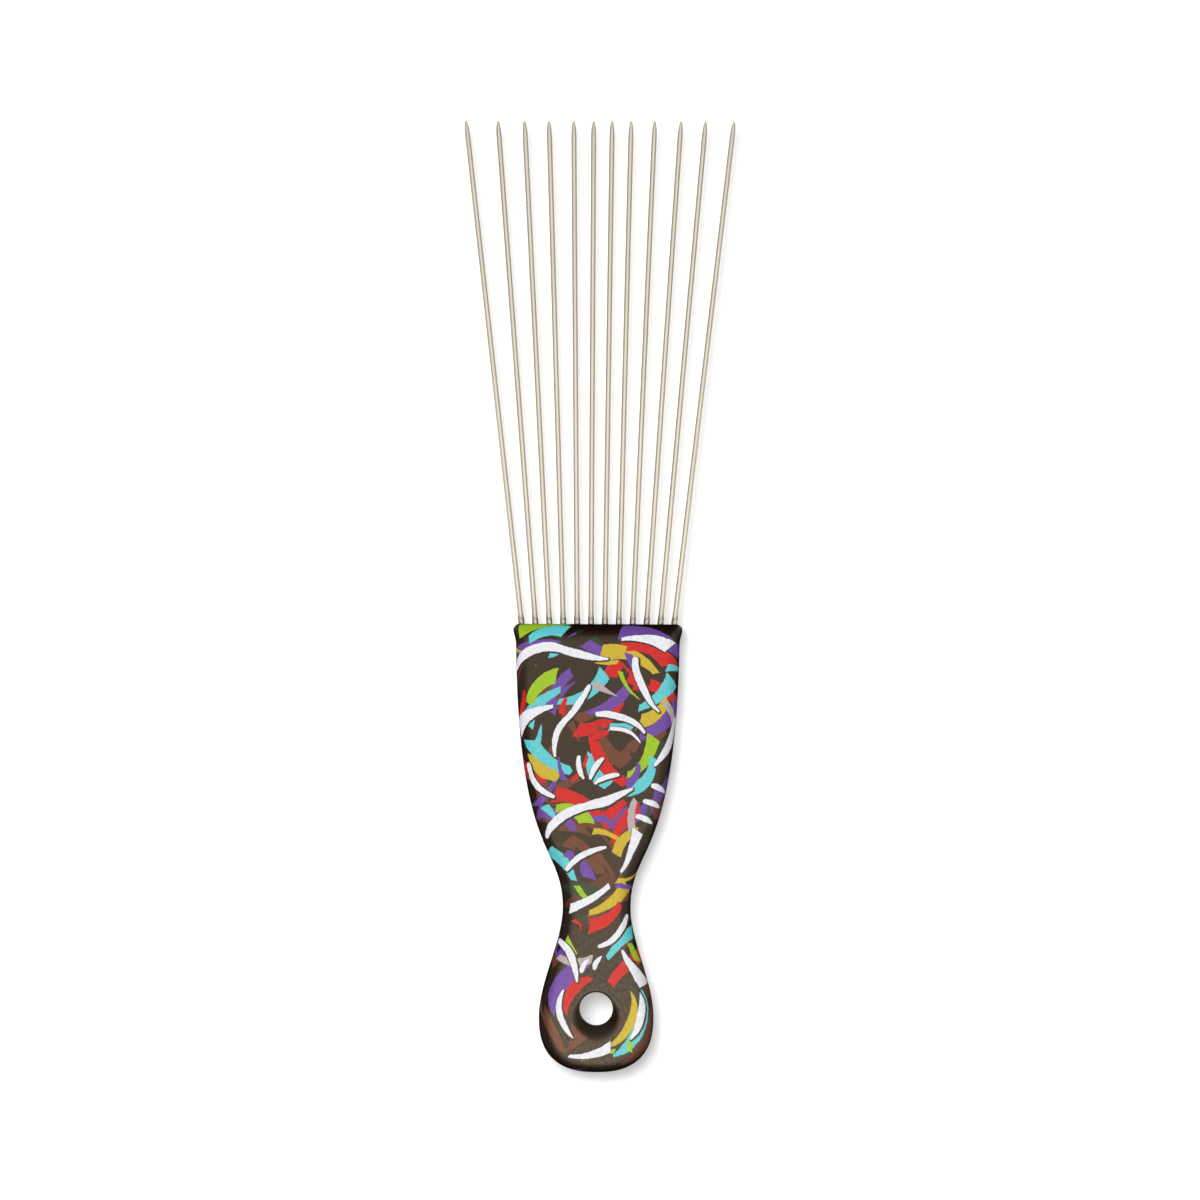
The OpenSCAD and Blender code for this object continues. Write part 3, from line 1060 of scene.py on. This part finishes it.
    def add_faces_and_hole(self, shell: Shell) -> None:
        """Adds the two flat faces and the hole between them.

        Below the waist a face is a fan from the hole's mouth to its border, and above it rungs from side to
        side.

        Args:
            shell: The shell to add them to.
        """
        border = self.ring(1.0)
        half = len(self.half_outline(1.0))
        waist = self.end_steps + self.neck_steps
        across = 1 - 2 * np.arange(self.cross_steps + 1) / self.cross_steps
        rungs = border[waist:half, None, :] * np.stack([across, np.ones(len(across))], axis=1)
        contour = np.concatenate([border[:waist], rungs[0], border[1 - waist :]])
        centre = np.array([0.0, self.hole_y])
        ray = unit(contour - centre)
        mouth = self.mouth_border(ray) + centre
        spread = np.linspace(0, 1, self.fan_rows)[:, None, None]
        fan = mouth * (1 - spread) + contour * spread
        fan[0], fan[-1] = mouth, contour
        for height, front in ((self.thickness, True), (0.0, False)):
            for grid, wrap in ((fan, True), (rungs, False)):
                shell.add(raised(grid, height), raised(grid), wrap, flip=front)
        self.add_hole(shell, ray)

    def build(self, finish: Material) -> None:
        """Builds the handle's shell and dresses it.

        Args:
            finish: The printed film.
        """
        shell = Shell("film")
        self.add_skin(shell)
        self.add_faces_and_hole(shell)
        made = shell.build("printed_handle")
        made.data.materials.append(finish)
        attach(made, "root")
        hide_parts("handle")
        LOG.info("%s: %d faces", made.name, len(made.data.polygons))


@dataclass
class PinFan:
    """The fan of steel pins, each with a rounded point, a shoulder and a grooved root in the head."""

    top_y: float
    middle_z: float
    lip_w: float
    reach: float = 127.0
    diameter: float = 1.32
    lean: float = 6.55
    margin: float = 2.05
    point_l: float = 4.4
    shoulder_d: float = 1.52
    shoulder_l: float = 4.0
    shoulder_full_share: float = 0.25
    root_l: float = 18.0
    root_chamfer_share: float = 0.4
    shoulder_sunk: float = 1.2
    groove_w: float = 1.2
    groove_deep: float = 0.2
    groove_pitch: float = 3.0
    groove_first_share: float = 0.7
    groove_count: int = 4
    sides: int = 28
    taper_rings: int = 13
    shaft_rings: int = 40
    tip_rings: int = 15
    mark_gap: float = 7.0
    lean_shares: tuple[float, ...] = (-1, -0.69, -0.47, -0.285, -0.095, 0.01, 0.09, 0.18, 0.35, 0.565, 0.75, 1)

    def profile(self, length: float) -> Array:
        """Half section of a pin, as radius and place along it, with 0 at the handle's top edge.

        Args:
            length: Length past the top edge.

        Returns:
            The points, from the root's end to the tip of the rounded point.
        """
        r, shoulder = self.diameter / 2, self.shoulder_d / 2
        chamfer, full = r * self.root_chamfer_share, self.shoulder_full_share
        rows = [(0.0, -self.root_l), (r - chamfer, -self.root_l), (r, -self.root_l + chamfer)]
        for k in range(self.groove_count):
            low = -self.root_l + self.groove_pitch * (self.groove_first_share + k)
            high = low + self.groove_w
            rows += [(r, low), (r - self.groove_deep, low), (r - self.groove_deep, high), (r, high)]
        rows += [(r, -self.shoulder_sunk - chamfer), (shoulder, -self.shoulder_sunk)]
        v = np.linspace(0, 1, self.taper_rings)
        taper = np.stack([shoulder + (r - shoulder) * ease(v), self.shoulder_l * (full + (1 - full) * v)], axis=1)
        along = np.linspace(self.shoulder_l, length - self.point_l, self.shaft_rings + 2)[1:-1]
        shaft = np.stack([np.full(len(along), r), along], axis=1)
        a = np.radians(np.linspace(0, 90, self.tip_rings))
        tip = np.stack([r * np.cos(a), length - self.point_l + self.point_l * np.sin(a)], axis=1)
        tip[-1, 0] = 0.0
        return np.concatenate([np.array(rows), taper, shaft, tip])

    def build_pin(self, index: int, finish: Material) -> None:
        """Builds one pin as a turned surface and leans it into the fan.

        Its marks are the place across it, along it and up it, and mark_gap apart from pin to pin, so that no
        two pins have the same streaks.

        Args:
            index: Number of the pin from the left, from 0.
            finish: The steel.
        """
        lean = math.radians(self.lean * self.lean_shares[index])
        pitch = (self.lip_w - 2 * self.margin) / (len(self.lean_shares) - 1)
        root_x = pitch * (index - (len(self.lean_shares) - 1) / 2)
        profile = self.profile(self.reach / math.cos(lean))
        angle = 2 * math.pi * np.arange(self.sides) / self.sides
        radius, along = profile[:, :1], profile[:, 1:]
        across, up = radius * np.cos(angle), radius * np.sin(angle)
        x = root_x + across * math.cos(lean) + along * math.sin(lean)
        y = self.top_y - across * math.sin(lean) + along * math.cos(lean)
        marks = np.stack([across + index * self.mark_gap, np.broadcast_to(along, across.shape), up], axis=2)
        shell = Shell("wire")
        shell.add(np.stack([x, y, self.middle_z + up], axis=2), marks, wrap=True, flip=True)
        made = shell.build(f"steel_pin_{index + 1:02d}")
        made.data.materials.append(finish)
        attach(made, "root")
        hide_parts(f"pin_{index + 1:02d}")
        LOG.info("%s: %d faces", made.name, len(made.data.polygons))

    def build(self, finish: Material) -> None:
        """Builds every pin, from left to right.

        Args:
            finish: The steel.
        """
        for index in range(len(self.lean_shares)):
            self.build_pin(index, finish)


# Studio


def seen_rays(graph: Graph) -> NodeSocket:
    """Finds the rays that show a background: to the camera, in a reflection or through glass.

    Args:
        graph: Graph of a material or the world.

    Returns:
        1 for those rays and 0 for the others.
    """
    rays = graph.node("ShaderNodeLightPath").outputs
    seen = graph.math("ADD", rays["Is Camera Ray"], rays["Is Glossy Ray"], clamp=True)
    return graph.math("ADD", seen, rays["Is Transmission Ray"], clamp=True)


@dataclass(frozen=True)
class Card:
    """A card that only reflections see, as photographers set them round shiny things, with its spans in metres."""

    name: str
    x: Pair
    y: Pair
    z: Pair
    glow: float = 0.0  # Its light, where 1 is white

    def corners(self) -> Array:
        """Works out its corners.

        A card goes from x[0] to x[1] at the place (y[0], z[0]) and at (y[1], z[1]). One whose x stays the same
        goes from y[0] to y[1] at both heights.

        Returns:
            The corners in turn, in metres.
        """
        (x1, x2), (y1, y2), (z1, z2) = self.x, self.y, self.z
        if x1 == x2:
            return np.array([(x1, y1, z1), (x1, y2, z1), (x1, y2, z2), (x1, y1, z2)])
        return np.array([(x1, y1, z1), (x2, y1, z1), (x2, y2, z2), (x1, y2, z2)])


@dataclass
class Studio:
    """A white table seen from straight above, a steep key light and cards that only reflections see."""

    middle_z: float  # Height of the pins' axes
    mm_per_pixel: float = 0.2523
    image_px: float = 1200.0
    centre_px: Pair = (598.0, 596.35)  # The pixel that shows the middle of the pick
    roll: float = 0.25
    lens: float = 400.0
    sensor: float = 36.0
    clips: Pair = (0.01, 20.0)  # In metres
    key_turn: float = 135.0  # Direction that the light comes from, in degrees from X
    key_tilt: float = 18.0  # How far it stands off the vertical, in degrees
    key_distance: float = 1.2  # In metres, as its size
    key_size: float = 0.6
    key_watts: float = 12.3
    world_light: float = 0.2
    table_tone: float = 0.9
    table_glow: float = 0.41
    table_half: float = 3.0  # Half its side, in metres
    table_gap: float = 0.05  # Below the pick, so that the flat back and the table aren't drawn through each other
    apron_in: float = 1.0
    apron_w: float = 45.0
    apron_past_top: float = 1.5
    apron_up: float = 0.3
    top_card_gap: float = 1.5
    top_card_h: float = 17.0
    cards: tuple[Card, ...] = (
        Card("sky_card", (-0.26, 0.26), (-0.42, -0.02), (0.32, 0.32), 1.42),
        Card("pins_card", (-0.26, 0.26), (-0.02, 0.09), (0.32, 0.32), 1.28),
        Card("foot_lamp_card", (-0.08, 0.08), (-0.32, -0.085), (0.16, 0.16), 3.7),
        Card("head_card", (-0.9, 0.9), (0.5, 0.35), (0.0, 0.33), 0.6),
        Card("foot_card", (-0.04, 0.04), (-0.129, -0.129), (0.0, 0.015)),
        Card("left_card", (-0.16, -0.16), (-0.32, -0.03), (0.0, 0.19)),
        Card("right_card", (0.16, 0.16), (-0.32, -0.03), (0.0, 0.19), 0.55),
        Card("far_left_card", (-0.45, -0.45), (-0.01, 0.5), (0.0, 0.36), 0.28),
        Card("far_right_card", (0.45, 0.45), (-0.01, 0.5), (0.0, 0.36), 0.28),
        Card("pins_apron", (-0.07, 0.07), (-0.004, 0.13), (0.0003, 0.0003), 0.75),
    )

    def add_camera(self) -> None:
        """Sets the camera at the photograph's place.

        Its distance is the width of the view times the lens over the sensor, measured to the pins' axes.
        """
        data = bpy.data.cameras.new("camera")
        data.lens, data.sensor_width = self.lens, self.sensor
        data.clip_start, data.clip_end = self.clips
        camera = bpy.data.objects.new("camera", data)
        x = (self.image_px / 2 - self.centre_px[0]) * self.mm_per_pixel
        y = (self.centre_px[1] - self.image_px / 2) * self.mm_per_pixel
        z = self.middle_z + self.mm_per_pixel * self.image_px * self.lens / self.sensor
        camera.location = (x * MM, y * MM, z * MM)
        camera.rotation_euler = (0.0, 0.0, math.radians(self.roll))
        bpy.context.scene.collection.objects.link(camera)
        bpy.context.scene.camera = camera

    def add_key(self) -> None:
        """Adds the key light, above and up to the left, which reflections don't see."""
        data = bpy.data.lights.new("key", "AREA")
        data.size, data.energy = self.key_size, self.key_watts
        lamp = bpy.data.objects.new("key", data)
        turn, lean = math.radians(self.key_turn), math.radians(self.key_tilt)
        side = self.key_distance * math.sin(lean)
        lamp.location = (side * math.cos(turn), side * math.sin(turn), self.key_distance * math.cos(lean))
        lamp.rotation_euler = (lean, 0.0, turn + math.pi / 2)
        lamp.visible_glossy = False
        bpy.context.scene.collection.objects.link(lamp)

    def add_world(self) -> None:
        """Lights the pick evenly, and shows white to the camera and to reflections."""
        world = bpy.data.worlds.new("studio")
        world.use_nodes = True
        bpy.context.scene.world = world
        graph = Graph(world.node_tree)
        strength = graph.blend(seen_rays(graph), self.world_light, 1.0)
        graph.feed(world.node_tree.nodes["Background"], {"Color": WHITE_LIGHT, "Strength": strength})

    def add_sheet(self, points: Array, faces: Array, finish: Material) -> Object:
        """Adds a sheet that is part of the studio, under the name of its material.

        Args:
            points: Its points, in metres.
            faces: Its faces, each four point numbers.
            finish: Its material.

        Returns:
            The sheet.
        """
        mesh = bpy.data.meshes.new(finish.name)
        mesh.from_pydata(points.tolist(), [], faces.tolist())
        mesh.materials.append(finish)
        sheet = bpy.data.objects.new(finish.name, mesh)
        bpy.context.scene.collection.objects.link(sheet)
        return sheet

    def add_floor(self) -> None:
        """Adds the table, which is white to the camera and to reflections, and keeps the pick's shadow."""
        material, graph, shader = new_material("white_table")
        glow = graph.math("MULTIPLY", seen_rays(graph), self.table_glow)
        matt = {"Base Color": (*[self.table_tone] * 3, 1.0), "Roughness": 1.0, "Specular IOR Level": 0.0}
        graph.feed(shader, matt | {"Emission Color": WHITE_LIGHT, "Emission Strength": glow})
        half, z = self.table_half, -self.table_gap * MM
        corners = np.array([(-half, -half, z), (half, -half, z), (half, half, z), (-half, half, z)])
        self.add_sheet(corners, QUAD, material)

    def add_card(self, name: str, points: Array, faces: Array, glow: float = 0.0) -> None:
        """Adds a sheet that only reflections see.

        Args:
            name: Its name.
            points: Its points, in metres.
            faces: Its faces, each four point numbers.
            glow: Its light, where 1 is white.
        """
        material, graph, shader = new_material(name)
        black = {"Base Color": (0.0, 0.0, 0.0, 1.0), "Specular IOR Level": 0.0}
        graph.feed(shader, black | {"Emission Color": WHITE_LIGHT, "Emission Strength": glow})
        sheet = self.add_sheet(points, faces, material)
        sheet.visible_camera = sheet.visible_diffuse = sheet.visible_shadow = False

    def add_cards(self, handle: Handle) -> None:
        """Adds the cards, and two black ones that follow the handle: an apron round it and one past its top.

        The apron's two borders are the handle's outline, moved in by apron_in and out by apron_w, but no more
        than apron_past_top towards the pins.

        Args:
            handle: The handle.
        """
        for card in self.cards:
            self.add_card(card.name, card.corners(), QUAD, card.glow)
        line = handle.ring(0.0)
        out = unit(line - handle.ring(1.0))
        borders = np.concatenate([line - out * self.apron_in, line + out * self.apron_w])
        right, top = line.max(axis=0)
        borders[:, 1] = np.minimum(borders[:, 1], top + self.apron_past_top)
        self.add_card("apron", raised(borders, self.apron_up) * MM, grid_faces(2, len(line), wrap=True))
        y = (top + self.top_card_gap) * MM
        top_card = Card("top_card", (-right * MM, right * MM), (y, y), (0.0, self.top_card_h * MM))
        self.add_card(top_card.name, top_card.corners(), QUAD)

    def build(self, handle: Handle) -> None:
        """Builds the whole studio.

        Args:
            handle: The handle, which two of the cards follow.
        """
        self.add_camera()
        self.add_world()
        self.add_floor()
        self.add_cards(handle)
        self.add_key()
        bpy.context.scene.view_settings.view_transform = "Standard"


def main() -> None:
    """Loads the frame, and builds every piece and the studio."""
    logging.basicConfig(level=logging.INFO, format="%(message)s")
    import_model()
    low, high = (np.array(corner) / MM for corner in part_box("handle"))
    markers, drawn = {tip: stroke_group(tip) for tip in Tip}, drawn_lines_group()
    handle = Handle(foot_y=float(low[1]), thickness=float(high[2]))
    design = (*under_painting(), *colour_work(), *white_work())
    handle.build(PrintedFilm(design).material(markers, drawn))
    fan = PinFan(top_y=handle.top_y, middle_z=handle.thickness / 2, lip_w=float(high[0] - low[0]))
    fan.build(DrawnSteel().material(drawn))
    Studio(middle_z=handle.thickness / 2).build(handle)


if __name__ == "__main__":
    main()
